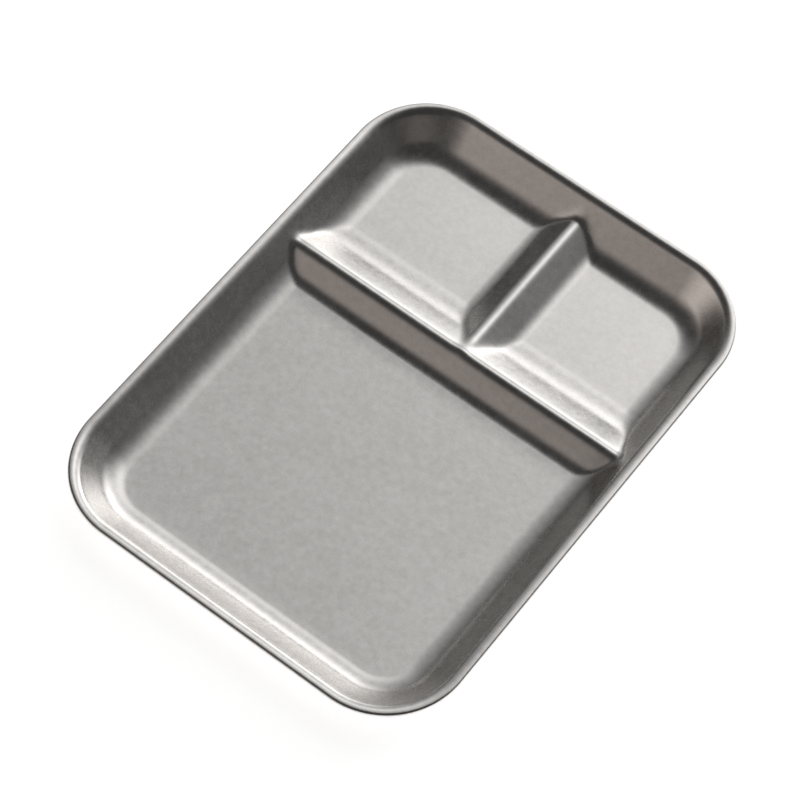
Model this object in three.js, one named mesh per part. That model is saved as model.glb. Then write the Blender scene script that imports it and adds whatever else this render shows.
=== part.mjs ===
// Three-compartment serving tray, pressed from one sheet of stainless steel.
// Millimetres, +Z up. The origin lies on the table under the middle of the tray. The large compartment is at
// the front, towards -Y, and the two small ones are at the back, towards +Y.

import * as THREE from 'three';

const { degToRad, smoothstep } = THREE.MathUtils;

// Overall sizes
const TRAY_WIDTH = 170; // along X, over the rolled edge
const TRAY_LENGTH = 230; // along Y, over the rolled edge
const TRAY_DEPTH = 14.6; // from the top of the rim down to the inside of the floor
const CORNER_RADIUS = 33.5; // outside of the rolled edge, seen from above
const SHEET_THICKNESS = 0.6;

// Rim and rolled edge
const RIM_FLAT = 0.5; // level lip between the wall and the roll
const ROLL_RADIUS = 0.9; // outside of the roll
const ROLL_TURN = degToRad(240); // from the top of the rim, outwards, down and under

// Wall round the tray
const WALL_SLOPE = degToRad(52.5); // from the horizontal
const SHOULDER_RADIUS = 4.5; // where the rim bends down into the wall
const FLOOR_FILLET = 12.5; // where the wall runs out into the floor
const TIGHTEST_CORNER = 3; // smallest radius of the floor's own corners

// Cross ridge, between the large compartment and the small ones
const CROSS_FROM_BACK = 85.4; // from the back edge to the crest
const CROSS_CREST_DROP = 6.7; // from the top of the rim to the crest
const CROSS_FRONT_CREST = 5; // radius of the crest's front half
const CROSS_FRONT_SLOPE = degToRad(41);
const CROSS_FRONT_FILLET = 7.6;
const CROSS_BACK_CREST = 3.8; // radius of the crest's back half
const CROSS_BACK_SLOPE = degToRad(27);
const CROSS_BACK_FILLET = 27;

// Short ridge, between the two small compartments
const SHORT_FROM_LEFT = 88.5; // from the left edge to the crest
const SHORT_CREST_DROP = 7.6; // from the top of the rim to the crest
const SHORT_CREST_RADIUS = 4;
const SHORT_SLOPE = degToRad(34.5);
const SHORT_FILLET = 9;

// How the ridges run into the wall and into each other
const RIDGE_RUNOUT = 5; // length over which a ridge dies out at the top of the wall
const SHORT_RUNOUT = 6; // length over which the short ridge dies out in front of the cross ridge's crest
const VALLEY_SHARPNESS = 1.8; // power that blends the two ridges at the floor: higher is a tighter valley
const VALLEY_TIGHTENING = 0.4; // growth of that power with each millimetre of ridge above the floor
const WALL_SHARPNESS = 1.6; // the same for the ridges and the wall
const WALL_TIGHTENING = 0.35;

// Fineness of the mesh: segments in each bend
const SHOULDER_SEGMENTS = 3;
const CREST_SEGMENTS = 2;
const FILLET_SEGMENTS = 4;
const ROLL_SEGMENTS = 8;
const CLOSEST_LINES = 0.05; // lines nearer than this are one line
const SLOPE_STEP = 0.01; // distance over which a slope is measured

const halfWidth = TRAY_WIDTH / 2;
const halfLength = TRAY_LENGTH / 2;
const rimEdge = ROLL_RADIUS + RIM_FLAT; // inset of the line where the rim bends down into the wall
const crossY = halfLength - CROSS_FROM_BACK;
const shortX = SHORT_FROM_LEFT - halfWidth;

// A fold from a level top down to a level base: an arc, a straight slope and a second arc.
// A fold too low for its full slope has no straight part, and its two arcs meet.
function fold(height, slope, topRadius, baseRadius) {
  const angle = Math.min(slope, Math.acos(Math.max(-1, 1 - height / (topRadius + baseRadius))));
  const topRun = topRadius * Math.sin(angle);
  const baseRun = baseRadius * Math.sin(angle);
  const topDrop = topRadius * (1 - Math.cos(angle));
  const baseDrop = baseRadius * (1 - Math.cos(angle));
  const straightRun = (height - topDrop - baseDrop) / Math.tan(angle);
  const run = topRun + straightRun + baseRun;

  // Height above the base at a distance from the start of the top arc
  function heightAt(distance) {
    if (distance <= 0) return height;
    if (distance < topRun) return height - topRadius + Math.sqrt(topRadius ** 2 - distance ** 2);
    if (distance < topRun + straightRun) return height - topDrop - (distance - topRun) * Math.tan(angle);
    if (distance < run) return baseRadius - Math.sqrt(baseRadius ** 2 - (run - distance) ** 2);
    return 0;
  }

  // Distances at which the mesh has a line, spread evenly round both arcs
  function lines(topSegments, baseSegments) {
    const distances = [];
    for (let i = 0; i <= topSegments; i++) {
      distances.push(topRadius * Math.sin((angle * i) / topSegments));
    }
    for (let i = baseSegments; i >= 0; i--) {
      distances.push(run - baseRadius * Math.sin((angle * i) / baseSegments));
    }
    return distances.filter((d, i) => i === 0 || d - distances[i - 1] > CLOSEST_LINES);
  }

  return { run, heightAt, lines };
}

const crossHeight = TRAY_DEPTH - CROSS_CREST_DROP;
const shortHeight = TRAY_DEPTH - SHORT_CREST_DROP;
const wall = fold(TRAY_DEPTH, WALL_SLOPE, SHOULDER_RADIUS, FLOOR_FILLET);
const crossFront = fold(crossHeight, CROSS_FRONT_SLOPE, CROSS_FRONT_CREST, CROSS_FRONT_FILLET);
const crossBack = fold(crossHeight, CROSS_BACK_SLOPE, CROSS_BACK_CREST, CROSS_BACK_FILLET);
const shortSide = fold(shortHeight, SHORT_SLOPE, SHORT_CREST_RADIUS, SHORT_FILLET);

// Distance inwards from the outline of the rolled edge
function inset(x, y) {
  const beyondX = Math.abs(x) - (halfWidth - CORNER_RADIUS);
  const beyondY = Math.abs(y) - (halfLength - CORNER_RADIUS);
  const outside = Math.hypot(Math.max(beyondX, 0), Math.max(beyondY, 0));
  return CORNER_RADIUS - outside - Math.min(Math.max(beyondX, beyondY), 0);
}

// Two folds in one: each keeps its own shape alone, and a rounded valley forms where they meet. It is tighter
// higher up.
function blend(first, second, sharpness, tightening) {
  const power = sharpness + tightening * (first + second);
  return (first ** power + second ** power) ** (1 / power);
}

// Height of the sheet's upper face above the floor
function sheetHeight(x, y) {
  const fromRim = inset(x, y) - rimEdge;
  const behindCrest = y - crossY;
  const clearOfRim = smoothstep(fromRim, 0, RIDGE_RUNOUT);
  const clearOfCross = smoothstep(behindCrest, -SHORT_RUNOUT, 0);
  const crossFold = behindCrest < 0 ? crossFront : crossBack;
  const cross = crossFold.heightAt(Math.abs(behindCrest)) * clearOfRim;
  const short = shortSide.heightAt(Math.abs(x - shortX)) * clearOfRim * clearOfCross;
  const ridges = blend(cross, short, VALLEY_SHARPNESS, VALLEY_TIGHTENING);
  return blend(wall.heightAt(fromRim), ridges, WALL_SHARPNESS, WALL_TIGHTENING);
}

function sheetNormal(x, y) {
  const slopeX = (sheetHeight(x + SLOPE_STEP, y) - sheetHeight(x - SLOPE_STEP, y)) / (2 * SLOPE_STEP);
  const slopeY = (sheetHeight(x, y + SLOPE_STEP) - sheetHeight(x, y - SLOPE_STEP)) / (2 * SLOPE_STEP);
  return new THREE.Vector3(-slopeX, -slopeY, 1).normalize();
}

// Mesh lines across the tray, gathered where the sheet bends. The wall's lines are rings round the tray, and
// turn its corners on arcs about the corner's centre.
const wallInsets = wall.lines(SHOULDER_SEGMENTS, FILLET_SEGMENTS).map((d) => rimEdge + d);
const ringInsets = [ROLL_RADIUS, ...wallInsets];
const cornerSpan = Math.max(CORNER_RADIUS, rimEdge + wall.run + TIGHTEST_CORNER);

function gridLines(half, ridgeLines) {
  const toCorner = [...ringInsets, cornerSpan].map((d) => half - d);
  return [...toCorner.map((line) => -line), ...ridgeLines, ...toCorner.reverse()];
}

function ridgeLines(centre, before, after) {
  const beforeLines = before.lines(CREST_SEGMENTS, FILLET_SEGMENTS).map((d) => centre - d);
  const afterLines = after.lines(CREST_SEGMENTS, FILLET_SEGMENTS).map((d) => centre + d);
  return [...beforeLines.reverse(), ...afterLines.slice(1)];
}

const xLines = gridLines(halfWidth, ridgeLines(shortX, shortSide, shortSide));
const yLines = gridLines(halfLength, ridgeLines(crossY, crossFront, crossBack));

// Number of rings that a grid line lies outside the corner centres
function ringsOut(index, lines) {
  return Math.max(ringInsets.length - index, index - (lines.length - 1 - ringInsets.length), 0);
}

// A grid point seen from above, and the direction that faces out of the tray there
function gridPoint(i, j) {
  const outX = ringsOut(i, xLines);
  const outY = ringsOut(j, yLines);
  const side = new THREE.Vector2(Math.sign(xLines[i]), Math.sign(yLines[j]));
  if (outX === 0 || outY === 0) {
    const outward = outX > 0 ? new THREE.Vector2(side.x, 0) : new THREE.Vector2(0, side.y);
    return { plan: new THREE.Vector2(xLines[i], yLines[j]), outward };
  }
  const ringInset = ringInsets[ringInsets.length - Math.max(outX, outY)];
  const radius = Math.max(CORNER_RADIUS - ringInset, TIGHTEST_CORNER);
  const eighth = Math.PI / 4;
  const angle = outX >= outY ? (eighth * outY) / outX : 2 * eighth - (eighth * outX) / outY;
  const outward = new THREE.Vector2(Math.cos(angle), Math.sin(angle)).multiply(side);
  const centre = new THREE.Vector2(halfWidth, halfLength).subScalar(ringInset + radius).multiply(side);
  return { plan: centre.addScaledVector(outward, radius), outward };
}

function pressedTrayGeometry() {
  const positions = [];
  const triangles = [];

  function addPoint(point) {
    positions.push(point.x, point.y, point.z);
    return positions.length / 3 - 1;
  }

  function addQuad(a, b, c, d) {
    triangles.push(a, b, c, a, c, d);
  }

  // Upper and lower face of the sheet
  const upper = xLines.map(() => []);
  const lower = xLines.map(() => []);
  for (let i = 0; i < xLines.length; i++) {
    for (let j = 0; j < yLines.length; j++) {
      const { plan } = gridPoint(i, j);
      const height = SHEET_THICKNESS + sheetHeight(plan.x, plan.y);
      const point = new THREE.Vector3(plan.x, plan.y, height);
      upper[i].push(addPoint(point));
      lower[i].push(addPoint(point.addScaledVector(sheetNormal(plan.x, plan.y), -SHEET_THICKNESS)));
    }
  }
  for (let i = 0; i < xLines.length - 1; i++) {
    for (let j = 0; j < yLines.length - 1; j++) {
      // Each cell is cut along the diagonal that points at the middle of the tray
      const level = (i + 0.5 - xLines.length / 2) * (j + 0.5 - yLines.length / 2) >= 0;
      const corners = [[i, j], [i + 1, j], [i + 1, j + 1], [i, j + 1]];
      const cell = level ? corners : [...corners.slice(1), corners[0]];
      addQuad(...cell.map(([a, b]) => upper[a][b]));
      const [first, second, third, fourth] = cell.map(([a, b]) => lower[a][b]);
      addQuad(first, fourth, third, second);
    }
  }

  // Points of the rim, counter-clockwise seen from above
  const rim = [];
  for (let i = 0; i < xLines.length - 1; i++) rim.push([i, 0]);
  for (let j = 0; j < yLines.length - 1; j++) rim.push([xLines.length - 1, j]);
  for (let i = xLines.length - 1; i > 0; i--) rim.push([i, yLines.length - 1]);
  for (let j = yLines.length - 1; j > 0; j--) rim.push([0, j]);

  // Rolled edge: down the outside of the roll, over the cut edge of the sheet and back up the inside
  const rollHeight = SHEET_THICKNESS + TRAY_DEPTH - ROLL_RADIUS;
  function rollRing(turn, radius) {
    return rim.map(([i, j]) => {
      const { plan, outward } = gridPoint(i, j);
      const rolled = plan.addScaledVector(outward, radius * Math.sin(turn));
      return addPoint(new THREE.Vector3(rolled.x, rolled.y, rollHeight + radius * Math.cos(turn)));
    });
  }
  const turns = [];
  for (let i = 1; i <= ROLL_SEGMENTS; i++) turns.push((ROLL_TURN * i) / ROLL_SEGMENTS);
  const rings = [
    rim.map(([i, j]) => upper[i][j]),
    ...turns.map((turn) => rollRing(turn, ROLL_RADIUS)),
    ...turns.toReversed().map((turn) => rollRing(turn, ROLL_RADIUS - SHEET_THICKNESS)),
    rim.map(([i, j]) => lower[i][j]),
  ];
  for (let r = 0; r < rings.length - 1; r++) {
    for (let k = 0; k < rim.length; k++) {
      const next = (k + 1) % rim.length;
      addQuad(rings[r][k], rings[r + 1][k], rings[r + 1][next], rings[r][next]);
    }
  }

  const geometry = new THREE.BufferGeometry();
  geometry.setAttribute('position', new THREE.Float32BufferAttribute(positions, 3));
  geometry.setIndex(triangles);
  geometry.computeVertexNormals();
  return geometry;
}

const satinSteel = new THREE.MeshStandardMaterial({ color: 0xb5b2ae, roughness: 0.4, metalness: 1 });
const pressedTray = new THREE.Mesh(pressedTrayGeometry(), satinSteel);
pressedTray.name = 'pressed_tray';

const compartmentTray = new THREE.Group();
compartmentTray.add(pressedTray);

export default compartmentTray;
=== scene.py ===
"""Compartment tray: a sheet of satin stainless steel, pressed into three compartments, on a white table.

Metres, +Z up. The large compartment is at the front, towards -Y, and the two small ones are at the back.
"""

import math
from collections import namedtuple

import bpy
from mathutils import Matrix, Vector


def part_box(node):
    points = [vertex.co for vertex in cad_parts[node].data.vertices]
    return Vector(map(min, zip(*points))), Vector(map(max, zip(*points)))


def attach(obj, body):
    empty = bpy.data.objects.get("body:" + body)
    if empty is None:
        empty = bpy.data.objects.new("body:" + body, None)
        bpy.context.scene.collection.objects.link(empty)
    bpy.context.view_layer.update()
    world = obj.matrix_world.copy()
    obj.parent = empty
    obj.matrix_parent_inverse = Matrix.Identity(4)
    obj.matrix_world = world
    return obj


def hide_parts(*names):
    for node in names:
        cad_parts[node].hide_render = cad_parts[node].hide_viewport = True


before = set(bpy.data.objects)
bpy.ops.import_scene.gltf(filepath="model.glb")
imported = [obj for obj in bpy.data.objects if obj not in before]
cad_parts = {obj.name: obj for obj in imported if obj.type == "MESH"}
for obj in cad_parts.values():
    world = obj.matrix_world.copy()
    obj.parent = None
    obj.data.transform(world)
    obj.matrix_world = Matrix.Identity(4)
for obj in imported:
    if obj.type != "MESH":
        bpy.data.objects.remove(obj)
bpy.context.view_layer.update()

MM = 0.001

# Sizes of the pressed sheet: the overall ones from the frame, the folds as the solid has them
tray_low, tray_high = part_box("pressed_tray")
RIM_TOP = tray_high.z
SHEET_THICKNESS = 0.6 * MM
SHEET_SIZES = {
    "Width": tray_high.x - tray_low.x,
    "Length": tray_high.y - tray_low.y,
    "Depth": RIM_TOP - SHEET_THICKNESS,
    "Thickness": SHEET_THICKNESS,
    "Corner Radius": 33.5 * MM,
    "Roll Radius": 0.9 * MM,
    "Roll Turn": math.radians(240),
    "Rim Flat": 0.5 * MM,
    "Wall Slope": math.radians(52.5),
    "Shoulder Radius": 4.5 * MM,
    "Floor Fillet": 12.5 * MM,
    "Cross From Back": 85.4 * MM,
    "Cross Crest Drop": 6.7 * MM,
    "Cross Front Crest": 5 * MM,
    "Cross Front Slope": math.radians(41),
    "Cross Front Fillet": 7.6 * MM,
    "Cross Back Crest": 3.8 * MM,
    "Cross Back Slope": math.radians(27),
    "Cross Back Fillet": 27 * MM,
    "Short From Left": 88.5 * MM,
    "Short Crest Drop": 7.6 * MM,
    "Short Crest Radius": 4 * MM,
    "Short Slope": math.radians(34.5),
    "Short Fillet": 9 * MM,
    "Ridge Runout": 5 * MM,
    "Short Runout": 6 * MM,
    "Valley Sharpness": 1.8,
    "Valley Tightening": 0.4 / MM,
    "Wall Sharpness": 1.6,
    "Wall Tightening": 0.35 / MM,
    "Dish Radius": 3200 * MM,
}

# Mesh lines: rings round the tray from its flat floor outwards, and straight lines across its core
FLOOR_RINGS = 4
FILLET_RINGS = 18
SLOPE_RINGS = 5
SHOULDER_RINGS = 10
RIM_RINGS = 2
ROLL_RINGS = 14
LEFT_LINES = 8
SHORT_RIDGE_LINES = 40
RIGHT_LINES = 8
FRONT_LINES = 16
CROSS_RIDGE_LINES = 46
BACK_LINES = 8
SHARP_EDGE = math.radians(50)  # the cut edge of the sheet is shaded sharp

# Steel: its colour, and the sizes of the patterns in its finish
STEEL_DARK = (0.63, 0.61, 0.59, 1)
STEEL_PALE = (0.78, 0.76, 0.74, 1)
SATIN_ROUGHNESS = 0.27
CLOUD_SIZE = 26 * MM
MOTTLE_SIZE = 2.4 * MM
GRIT_SIZE = 0.5 * MM
SCRATCH_LENGTH = 30 * MM
SCRATCH_WIDTH = 0.22 * MM
SCRATCH_TURNS = (0.6, -0.9)  # radians, in the stretched pattern: they choose other hairlines, not a direction
SCRATCH_START = 0.2  # noise above this starts a hairline
SCRATCH_FULL = 0.27

# Steel: how much each pattern changes its tone, its roughness and its height
CLOUD_TONE = 0.9
MOTTLE_TONE = 2
RUBBED_TONE = 0.15
SCRATCH_TONE = 0.04
CLOUD_ROUGHNESS = 0.12
MOTTLE_ROUGHNESS = 0.1
GRIT_ROUGHNESS = 0.03
SCRATCH_ROUGHNESS = 0.03
RUBBED_POLISH = 0.04
MOTTLE_HEIGHT = 0.006  # heights are in millimetres
GRIT_HEIGHT = 0.0005
SCRATCH_DEPTH = 0.0004
RUBBED_CREST = 0.7  # share of a ridge's height above which it is rubbed
RUBBED_RIM = 0.85  # share of the wall's height above which it is rubbed

# Table
TABLE_WHITE = (0.8, 0.8, 0.8, 1)
TABLE_GLOW = 0.8
TABLE_HALF = 4.0
TABLE_TOP = -0.2 * MM

# Studio: a dim room with soft glows, white at the back and warmer at the front.
# Azimuth is in degrees from the back towards the right. Width and height are sines of the angles at which a
# glow has fallen to about a third.
Glow = namedtuple("Glow", "azimuth elevation width height radiance")
ROOM_LIGHT = 0.045
FILL_TINT = (1, 0.896, 0.839)
BACK_GLOWS = (
    Glow(azimuth=4, elevation=20, width=0.42, height=0.24, radiance=2.15),
    Glow(azimuth=-15, elevation=6, width=0.33, height=0.2, radiance=1.2),
    Glow(azimuth=-6, elevation=42, width=0.5, height=0.2, radiance=0.6),
    Glow(azimuth=-4, elevation=54, width=0.5, height=0.14, radiance=0.85),
    Glow(azimuth=0, elevation=63, width=0.4, height=0.16, radiance=0.95),
    Glow(azimuth=-50, elevation=25, width=0.3, height=0.3, radiance=0.15),
)
FRONT_GLOWS = (
    Glow(azimuth=-138, elevation=8, width=0.45, height=0.26, radiance=0.77),
    Glow(azimuth=-155, elevation=30, width=0.3, height=0.26, radiance=0.32),
    Glow(azimuth=130, elevation=10, width=0.4, height=0.2, radiance=0.17),
)

# Camera, placed about the middle of the rim
CAMERA_AZIMUTH = math.radians(32.82)
CAMERA_ELEVATION = math.radians(60.93)
CAMERA_ROLL = math.radians(4.98)
CAMERA_DISTANCE = 1097 * MM
CAMERA_LEFT = 3.08 * MM
CAMERA_DOWN = 3.21 * MM
CAMERA_LENS = 133.56  # millimetres, on Blender's sensor of 36 mm
CAMERA_NEAREST = 10 * MM


# Node trees

class Field:
    """A value in a node tree. Arithmetic on it adds Math nodes to the tree."""

    def __init__(self, socket):
        self.socket = socket

    def math(self, operation, *others):
        node = self.socket.id_data.nodes.new("ShaderNodeMath")
        node.operation = operation
        for socket, value in zip(node.inputs, (self, *others)):
            feed(socket, value)
        return Field(node.outputs[0])

    def __add__(self, other):
        return self.math("ADD", other)

    def __sub__(self, other):
        return self.math("SUBTRACT", other)

    def __rsub__(self, other):
        return self.math("MULTIPLY_ADD", -1, other)

    def __mul__(self, other):
        return self.math("MULTIPLY", other)

    def __truediv__(self, other):
        return self.math("DIVIDE", other)

    def __pow__(self, other):
        return self.math("POWER", other)

    def __abs__(self):
        return self.math("ABSOLUTE")

    def least(self, other):
        return self.math("MINIMUM", other)

    def most(self, other):
        return self.math("MAXIMUM", other)

    def sin(self):
        return self.math("SINE")

    def cos(self):
        return self.math("COSINE")

    def tan(self):
        return self.math("TANGENT")

    def arc_cosine(self):
        return self.math("ARCCOSINE")

    def root(self):
        return self.math("SQRT")

    def sign(self):
        return self.math("SIGN")

    def above(self, other):
        return self.math("GREATER_THAN", other)

    def spread(self, low, high, to_low, to_high, kind="LINEAR"):
        """The value's way from low to high, as a way from to_low to to_high, and level outside it."""
        node = self.socket.id_data.nodes.new("ShaderNodeMapRange")
        node.interpolation_type = kind
        for socket, value in zip(node.inputs, (self, low, high, to_low, to_high)):
            feed(socket, value)
        return Field(node.outputs[0])

    def smooth_step(self, low, high):
        return self.spread(low, high, 0, 1, "SMOOTHSTEP")


def feed(socket, value):
    """Links a field to a socket, or sets a plain value on it."""
    if isinstance(value, Field):
        socket.id_data.links.new(value.socket, socket)
    else:
        socket.default_value = value


def new_geometry_tree(name, inputs, outputs):
    """A geometry tree, its float inputs as fields, and its output node."""
    tree = bpy.data.node_groups.new(name, "GeometryNodeTree")
    for label in inputs:
        tree.interface.new_socket(name=label, in_out="INPUT", socket_type="NodeSocketFloat")
    for label, kind in outputs.items():
        tree.interface.new_socket(name=label, in_out="OUTPUT", socket_type=kind)
    entry = tree.nodes.new("NodeGroupInput")
    fields = {label: Field(entry.outputs[label]) for label in inputs}
    return tree, fields, tree.nodes.new("NodeGroupOutput")


# The pressed sheet

def fold_tree():
    """A fold from a level top down to a level base: an arc, a straight slope and a second arc.

    Rise is the height above the base at a distance from the start of the top arc.
    """
    inputs = ("Distance", "Height", "Slope", "Top Radius", "Base Radius")
    outputs = ("Rise", "Top Run", "Straight Run", "Base Run")
    tree, size, result = new_geometry_tree("fold", inputs, dict.fromkeys(outputs, "NodeSocketFloat"))
    top_radius = size["Top Radius"]
    base_radius = size["Base Radius"]

    steepest = (1 - size["Height"] / (top_radius + base_radius)).most(-1).arc_cosine()
    angle = size["Slope"].least(steepest)
    bent = angle.cos()
    top_run = top_radius * angle.sin()
    base_run = base_radius * angle.sin()
    straight_drop = size["Height"] - (top_radius + base_radius) * (1 - bent)
    straight_run = straight_drop / angle.tan()

    along = size["Distance"].most(0)
    on_top = along.least(top_run)
    on_straight = (along - top_run).most(0).least(straight_run)
    on_base = (top_run + straight_run + base_run - along).most(0).least(base_run)
    left_on_top = (top_radius * top_radius - on_top * on_top).root() - top_radius * bent
    left_on_straight = (straight_run - on_straight) * angle.tan()
    left_on_base = base_radius - (base_radius * base_radius - on_base * on_base).root()

    feed(result.inputs["Rise"], left_on_top + left_on_straight + left_on_base)
    feed(result.inputs["Top Run"], top_run)
    feed(result.inputs["Straight Run"], straight_run)
    feed(result.inputs["Base Run"], base_run)
    return tree


def add_fold(tree, fold, **sizes):
    """A fold in a tree: its outputs as fields."""
    node = tree.nodes.new("GeometryNodeGroup")
    node.node_tree = fold
    for label, value in sizes.items():
        feed(node.inputs[label.replace("_", " ")], value)
    return {output.name: Field(output) for output in node.outputs}


def blend(first, second, sharpness, tightening):
    """Two rises joined by a power sum: a rounded valley lies between them, and it is tighter higher up."""
    power = sharpness + (first + second) * tightening
    return (first ** power + second ** power) ** (power ** -1)


def laid_out(count, stretches):
    """A place along a row of mesh lines: each stretch has its number of lines and its length."""
    place = None
    lines_before = 0
    for lines, length in stretches:
        step = count.spread(lines_before, lines_before + lines, 0, length)
        place = step if place is None else place + step
        lines_before += lines
    return place


def sheet_tree(steel):
    """The upper face of the sheet, from the flat floor out over the rim to the cut edge under the roll."""
    tree, size, result = new_geometry_tree("pressed sheet", SHEET_SIZES, {"Sheet": "NodeSocketGeometry"})
    fold = fold_tree()

    # A flat grid, counted in mesh lines from its middle
    wall_rings = FLOOR_RINGS + FILLET_RINGS + SLOPE_RINGS + SHOULDER_RINGS + RIM_RINGS
    rings = wall_rings + ROLL_RINGS
    core_columns = LEFT_LINES + SHORT_RIDGE_LINES + RIGHT_LINES
    core_rows = FRONT_LINES + CROSS_RIDGE_LINES + BACK_LINES
    columns = core_columns + 2 * rings
    rows = core_rows + 2 * rings
    grid = tree.nodes.new("GeometryNodeMeshGrid")
    for label, value in {
        "Size X": columns, "Size Y": rows, "Vertices X": columns + 1, "Vertices Y": rows + 1,
    }.items():
        grid.inputs[label].default_value = value
    position = tree.nodes.new("GeometryNodeInputPosition")
    split = tree.nodes.new("ShaderNodeSeparateXYZ")
    tree.links.new(position.outputs[0], split.inputs[0])
    column = Field(split.outputs["X"])
    row = Field(split.outputs["Y"])

    # Rings out from the core, and the way out of the tray: square to a side, and turning round a corner
    rings_x = (abs(column) - core_columns / 2).most(0)
    rings_y = (abs(row) - core_rows / 2).most(0)
    ring = rings_x.most(rings_y)
    from_square = rings_x.least(rings_y) / ring * (math.pi / 4)
    over_end = rings_y.above(rings_x)
    heading = from_square * (1 - over_end * 2) + over_end * (math.pi / 2)
    out_x = heading.cos() * column.sign()
    out_y = heading.sin() * row.sign()

    # The core is the rectangle between the centres of the corners
    cross_y = size["Length"] / 2 - size["Cross From Back"]
    short_x = size["Short From Left"] - size["Width"] / 2
    cross_height = size["Depth"] - size["Cross Crest Drop"]
    short_height = size["Depth"] - size["Short Crest Drop"]
    half_core_x = size["Width"] / 2 - size["Corner Radius"]
    half_core_y = size["Length"] / 2 - size["Corner Radius"]
    ridge_shapes = {
        "front": dict(Height=cross_height, Slope=size["Cross Front Slope"],
                      Top_Radius=size["Cross Front Crest"], Base_Radius=size["Cross Front Fillet"]),
        "back": dict(Height=cross_height, Slope=size["Cross Back Slope"],
                     Top_Radius=size["Cross Back Crest"], Base_Radius=size["Cross Back Fillet"]),
        "side": dict(Height=short_height, Slope=size["Short Slope"],
                     Top_Radius=size["Short Crest Radius"], Base_Radius=size["Short Fillet"]),
    }
    run = {}
    for name, shape in ridge_shapes.items():
        made = add_fold(tree, fold, **shape)
        run[name] = made["Top Run"] + made["Straight Run"] + made["Base Run"]
    core_x = laid_out(column + core_columns / 2, [
        (LEFT_LINES, half_core_x + short_x - run["side"]),
        (SHORT_RIDGE_LINES, run["side"] * 2),
        (RIGHT_LINES, half_core_x - short_x - run["side"]),
    ]) - half_core_x
    core_y = laid_out(row + core_rows / 2, [
        (FRONT_LINES, half_core_y + cross_y - run["front"]),
        (CROSS_RIDGE_LINES, run["front"] + run["back"]),
        (BACK_LINES, half_core_y - cross_y - run["back"]),
    ]) - half_core_y

    # Reach of a ring from the core, out to the top of the rim
    wall_shape = dict(Height=size["Depth"], Slope=size["Wall Slope"],
                      Top_Radius=size["Shoulder Radius"], Base_Radius=size["Floor Fillet"])
    wall_runs = add_fold(tree, fold, **wall_shape)
    rim_reach = size["Corner Radius"] - size["Roll Radius"]
    wall_run = wall_runs["Top Run"] + wall_runs["Straight Run"] + wall_runs["Base Run"] + size["Rim Flat"]
    reach = laid_out(ring, [
        (FLOOR_RINGS, rim_reach - wall_run),
        (FILLET_RINGS, wall_runs["Base Run"]),
        (SLOPE_RINGS, wall_runs["Straight Run"]),
        (SHOULDER_RINGS, wall_runs["Top Run"]),
        (RIM_RINGS, size["Rim Flat"]),
    ])
    x = core_x + out_x * reach
    y = core_y + out_y * reach

    # Height above the floor: the two ridges are blended, and then the ridges with the wall
    from_rim = rim_reach - size["Rim Flat"] - reach
    behind_crest = y - cross_y
    clear_of_rim = from_rim.smooth_step(0, size["Ridge Runout"])
    front_rise = add_fold(tree, fold, Distance=0 - behind_crest, **ridge_shapes["front"])
    back_rise = add_fold(tree, fold, Distance=behind_crest, **ridge_shapes["back"])
    side_rise = add_fold(tree, fold, Distance=abs(x - short_x), **ridge_shapes["side"])
    wall_rise = add_fold(tree, fold, Distance=from_rim, **wall_shape)
    clear_of_cross = behind_crest.smooth_step(0 - size["Short Runout"], 0)
    cross = front_rise["Rise"].least(back_rise["Rise"]) * clear_of_rim
    short = side_rise["Rise"] * clear_of_rim * clear_of_cross
    wall = wall_rise["Rise"]
    ridges = blend(cross, short, size["Valley Sharpness"], size["Valley Tightening"])
    pressed = blend(wall, ridges, size["Wall Sharpness"], size["Wall Tightening"])

    # The large floor is dished a little, as if pressed on a big ball: it fades in the wall and over the ridge
    middle_y = (cross_y - size["Length"] / 2) / 2
    ball_rise = (x * x + (y - middle_y) * (y - middle_y)) / (size["Dish Radius"] * 2)
    behind = behind_crest.smooth_step(0 - run["front"], run["back"])
    height = pressed + ball_rise * (1 - behind) * (1 - wall / size["Depth"])

    # Crests and rim, where the steel is rubbed
    on_cross = cross.smooth_step(cross_height * RUBBED_CREST, cross_height)
    on_short = short.smooth_step(short_height * RUBBED_CREST, short_height)
    on_rim = wall.smooth_step(size["Depth"] * RUBBED_RIM, size["Depth"])
    rubbed = on_cross.most(on_short).most(on_rim)

    # The roll turns outwards, down and under from the top of the rim
    roll = ring.spread(wall_rings, rings, 0, size["Roll Turn"])
    roll_out = size["Roll Radius"] * roll.sin()
    roll_drop = size["Roll Radius"] * (1 - roll.cos())
    place = tree.nodes.new("ShaderNodeCombineXYZ")
    feed(place.inputs["X"], x + out_x * roll_out)
    feed(place.inputs["Y"], y + out_y * roll_out)
    feed(place.inputs["Z"], size["Thickness"] + height - roll_drop)

    shaped = tree.nodes.new("GeometryNodeSetPosition")
    marked = tree.nodes.new("GeometryNodeStoreNamedAttribute")
    marked.inputs["Name"].default_value = "rubbed"
    feed(marked.inputs["Value"], rubbed)
    smooth = tree.nodes.new("GeometryNodeSetShadeSmooth")
    realized = tree.nodes.new("GeometryNodeRealizeInstances")
    finished = tree.nodes.new("GeometryNodeSetMaterial")
    finished.inputs["Material"].default_value = steel
    tree.links.new(grid.outputs["Mesh"], marked.inputs["Geometry"])
    tree.links.new(marked.outputs[0], shaped.inputs["Geometry"])
    tree.links.new(place.outputs[0], shaped.inputs["Position"])
    tree.links.new(shaped.outputs[0], smooth.inputs["Geometry"])
    tree.links.new(smooth.outputs[0], realized.inputs["Geometry"])
    tree.links.new(realized.outputs[0], finished.inputs["Geometry"])
    tree.links.new(finished.outputs[0], result.inputs["Sheet"])
    return tree


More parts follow.
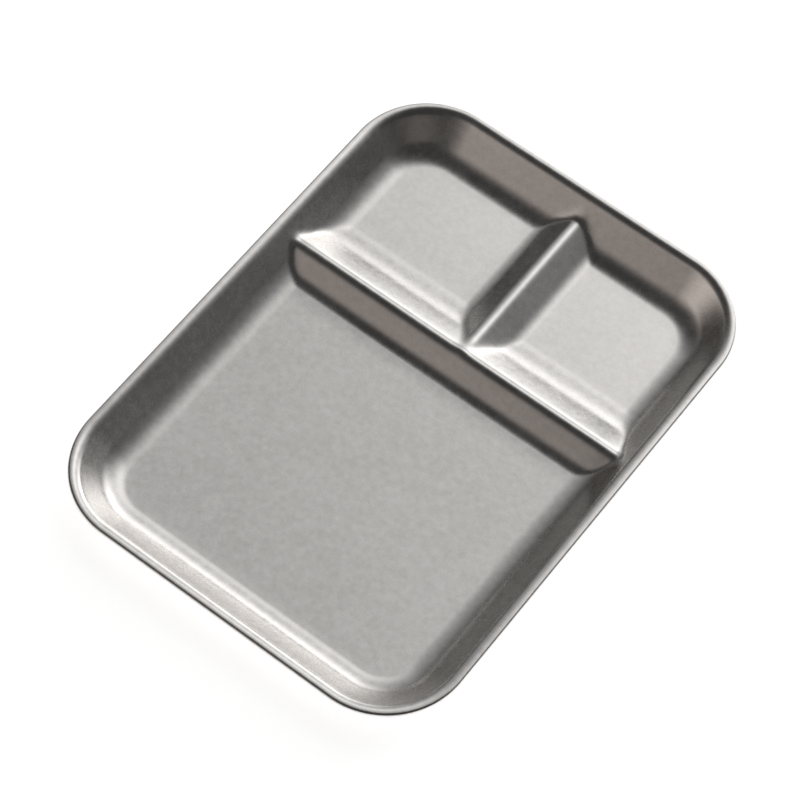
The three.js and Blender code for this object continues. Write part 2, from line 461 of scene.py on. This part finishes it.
def make_tray(steel):
    """The whole sheet as a plain mesh: its upper face, thickened downwards."""
    maker = bpy.data.objects.new("sheet_maker", bpy.data.meshes.new("sheet_maker"))
    bpy.context.scene.collection.objects.link(maker)
    face = maker.modifiers.new("upper face", "NODES")
    face.node_group = sheet_tree(steel)
    for item in face.node_group.interface.items_tree:
        if item.in_out == "INPUT":
            face[item.identifier] = SHEET_SIZES[item.name]
    thickness = maker.modifiers.new("thickness", "SOLIDIFY")
    thickness.thickness = SHEET_THICKNESS
    thickness.offset = -1
    thickness.use_even_offset = True

    depsgraph = bpy.context.evaluated_depsgraph_get()
    mesh = bpy.data.meshes.new_from_object(maker.evaluated_get(depsgraph))
    mesh.name = "steel_tray"
    mesh.set_sharp_from_angle(angle=SHARP_EDGE)
    bpy.data.objects.remove(maker)

    tray = bpy.data.objects.new("steel_tray", mesh)
    bpy.context.scene.collection.objects.link(tray)
    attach(tray, "root")
    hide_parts("pressed_tray")


# Finishes

def noise(tree, place, size, detail, seed):
    """A random pattern about zero, with grains of one size and finer ones in them."""
    node = tree.nodes.new("ShaderNodeTexNoise")
    node.noise_dimensions = "4D"
    node.inputs["W"].default_value = seed
    node.inputs["Scale"].default_value = 1 / size
    node.inputs["Detail"].default_value = detail
    tree.links.new(place, node.inputs["Vector"])
    return Field(node.outputs["Fac"]) - 0.5


def scratches(tree, place, turn, seed):
    """Sparse hairlines, all along the tray's width."""
    along = tree.nodes.new("ShaderNodeMapping")
    along.inputs["Rotation"].default_value = (0, 0, turn)
    along.inputs["Scale"].default_value = (1 / SCRATCH_LENGTH, 1 / SCRATCH_WIDTH, 1 / SCRATCH_LENGTH)
    tree.links.new(place, along.inputs["Vector"])
    return noise(tree, along.outputs[0], size=1, detail=0, seed=seed).smooth_step(SCRATCH_START, SCRATCH_FULL)


def satin_steel():
    """Stainless steel, tumbled to a satin: soft clouds, a fine mottle, grit, hairlines and rubbed crests."""
    material = bpy.data.materials.new("satin_steel")
    material.use_nodes = True
    tree = material.node_tree
    shader = tree.nodes["Principled BSDF"]
    shader.inputs["Metallic"].default_value = 1
    place = tree.nodes.new("ShaderNodeTexCoord").outputs["Object"]
    clouds = noise(tree, place, CLOUD_SIZE, detail=2, seed=1)
    mottle = noise(tree, place, MOTTLE_SIZE, detail=3, seed=2)
    grit = noise(tree, place, GRIT_SIZE, detail=1, seed=3)
    first_turn, second_turn = SCRATCH_TURNS
    hairlines = scratches(tree, place, first_turn, seed=4) + scratches(tree, place, second_turn, seed=5)
    rubbed_place = tree.nodes.new("ShaderNodeAttribute")
    rubbed_place.attribute_name = "rubbed"
    rubbed = Field(rubbed_place.outputs["Fac"])

    tone = tree.nodes.new("ShaderNodeMix")
    tone.data_type = "RGBA"
    paler = clouds * CLOUD_TONE + mottle * MOTTLE_TONE + rubbed * RUBBED_TONE - hairlines * SCRATCH_TONE
    feed(tone.inputs["Factor"], paler + 0.5)
    tone.inputs["A"].default_value = STEEL_DARK
    tone.inputs["B"].default_value = STEEL_PALE
    tree.links.new(tone.outputs["Result"], shader.inputs["Base Color"])
    rougher = clouds * CLOUD_ROUGHNESS + mottle * MOTTLE_ROUGHNESS + grit * GRIT_ROUGHNESS
    rougher = rougher + hairlines * SCRATCH_ROUGHNESS - rubbed * RUBBED_POLISH
    feed(shader.inputs["Roughness"], rougher + SATIN_ROUGHNESS)
    bump = tree.nodes.new("ShaderNodeBump")
    bump.inputs["Distance"].default_value = MM
    feed(bump.inputs["Height"], mottle * MOTTLE_HEIGHT + grit * GRIT_HEIGHT - hairlines * SCRATCH_DEPTH)
    tree.links.new(bump.outputs[0], shader.inputs["Normal"])
    return material


# Stage and light

def white_table():
    """A white table, which keeps the tray's shadow."""
    material = bpy.data.materials.new("white_table")
    material.use_nodes = True
    tree = material.node_tree
    tree.nodes.clear()
    paint = tree.nodes.new("ShaderNodeBsdfDiffuse")
    paint.inputs["Color"].default_value = TABLE_WHITE
    glow = tree.nodes.new("ShaderNodeEmission")
    path = tree.nodes.new("ShaderNodeLightPath")
    seen = Field(path.outputs["Is Camera Ray"]) + Field(path.outputs["Is Glossy Ray"])
    seen = (seen + Field(path.outputs["Is Transmission Ray"])).least(1)
    feed(glow.inputs["Strength"], seen * TABLE_GLOW)
    both = tree.nodes.new("ShaderNodeAddShader")
    tree.links.new(paint.outputs[0], both.inputs[0])
    tree.links.new(glow.outputs[0], both.inputs[1])
    result = tree.nodes.new("ShaderNodeOutputMaterial")
    tree.links.new(both.outputs[0], result.inputs["Surface"])
    return material


def add_table():
    """A square of white table under the tray."""
    corners = [(x * TABLE_HALF, y * TABLE_HALF, TABLE_TOP) for x, y in ((-1, -1), (1, -1), (1, 1), (-1, 1))]
    mesh = bpy.data.meshes.new("table")
    mesh.from_pydata(corners, [], [(0, 1, 2, 3)])
    mesh.materials.append(white_table())
    table = bpy.data.objects.new("table", mesh)
    bpy.context.scene.collection.objects.link(table)


def add_glow(tree, way, glow):
    """One soft glow on the studio's wall, as a field over the directions of the room."""
    turn = math.radians(glow.azimuth)
    tilt = math.radians(glow.elevation)
    middle = Vector((math.sin(turn) * math.cos(tilt), math.cos(turn) * math.cos(tilt), math.sin(tilt)))
    right = Vector((math.cos(turn), -math.sin(turn), 0))
    offsets = []
    for axis in (right / glow.width, right.cross(middle) / glow.height, middle):
        node = tree.nodes.new("ShaderNodeVectorMath")
        node.operation = "DOT_PRODUCT"
        tree.links.new(way, node.inputs[0])
        node.inputs[1].default_value = axis
        offsets.append(Field(node.outputs["Value"]))
    across, up, towards = offsets
    fall = across * across + up * up
    return (fall * -1).math("EXPONENT") * towards.above(0) * glow.radiance


def add_glows(tree, way, glows):
    """Several glows together."""
    light = add_glow(tree, way, glows[0])
    for glow in glows[1:]:
        light = light + add_glow(tree, way, glow)
    return light


def add_world():
    """The studio: a dim room with soft glows on its walls."""
    world = bpy.data.worlds.new("studio")
    world.use_nodes = True
    tree = world.node_tree
    way = tree.nodes.new("ShaderNodeTexCoord").outputs["Generated"]
    white_light = add_glows(tree, way, BACK_GLOWS)
    warm_light = add_glows(tree, way, FRONT_GLOWS)
    colour = tree.nodes.new("ShaderNodeCombineColor")
    for channel, tint in zip(colour.inputs, FILL_TINT):
        feed(channel, warm_light * tint + white_light + ROOM_LIGHT)
    tree.links.new(colour.outputs[0], tree.nodes["Background"].inputs["Color"])
    bpy.context.scene.world = world


def add_camera():
    """The camera, turned to the view and moved aside to frame the tray."""
    back = Vector((
        math.sin(CAMERA_AZIMUTH) * math.cos(CAMERA_ELEVATION),
        -math.cos(CAMERA_AZIMUTH) * math.cos(CAMERA_ELEVATION),
        math.sin(CAMERA_ELEVATION),
    ))
    level = Vector((math.cos(CAMERA_AZIMUTH), math.sin(CAMERA_AZIMUTH), 0))
    upright = back.cross(level)
    right = level * math.cos(CAMERA_ROLL) + upright * math.sin(CAMERA_ROLL)
    up = upright * math.cos(CAMERA_ROLL) - level * math.sin(CAMERA_ROLL)
    place = Vector((0, 0, RIM_TOP)) + back * CAMERA_DISTANCE - right * CAMERA_LEFT - up * CAMERA_DOWN
    camera = bpy.data.objects.new("camera", bpy.data.cameras.new("camera"))
    camera.data.lens = CAMERA_LENS
    camera.data.clip_start = CAMERA_NEAREST
    camera.matrix_world = Matrix.Translation(place) @ Matrix((right, up, back)).transposed().to_4x4()
    bpy.context.scene.collection.objects.link(camera)
    bpy.context.scene.camera = camera


add_camera()
add_table()
add_world()
bpy.context.scene.view_settings.view_transform = "Standard"
make_tray(satin_steel())
